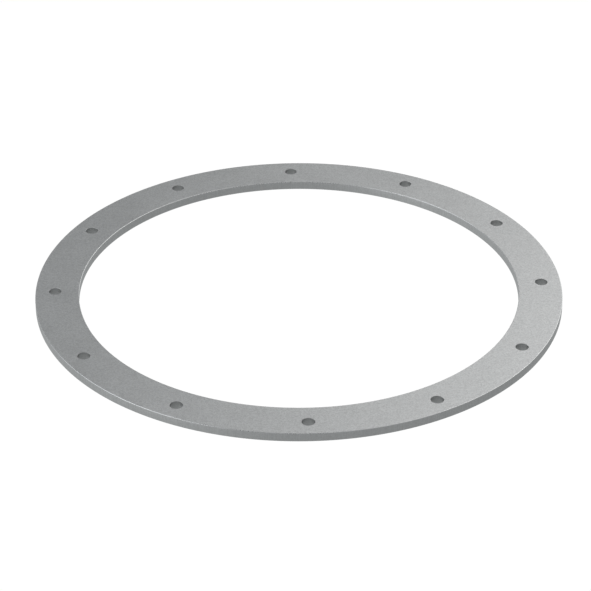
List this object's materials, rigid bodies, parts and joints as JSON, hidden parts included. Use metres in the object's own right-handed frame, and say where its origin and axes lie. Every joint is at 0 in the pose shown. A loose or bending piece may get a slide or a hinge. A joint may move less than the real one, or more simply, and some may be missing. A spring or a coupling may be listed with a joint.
{
  "type": "flat flange ring",
  "caption": "Flat steel flange ring with a large round opening and a circle of plain bolt holes.",
  "frame": {"origin": "centre of the ring on its underside", "axes": "+Z along the ring's axis, up from the underside; +X and +Y each point midway between two bolt holes"},
  "size_m": [0.484, 0.484, 0.008],
  "materials": {
    "plate_steel": "satin, fine grained, with lightly rounded edges"
  },
  "bodies": {
    "root": {"flange_ring": "plate_steel"}
  },
  "joints": []
}
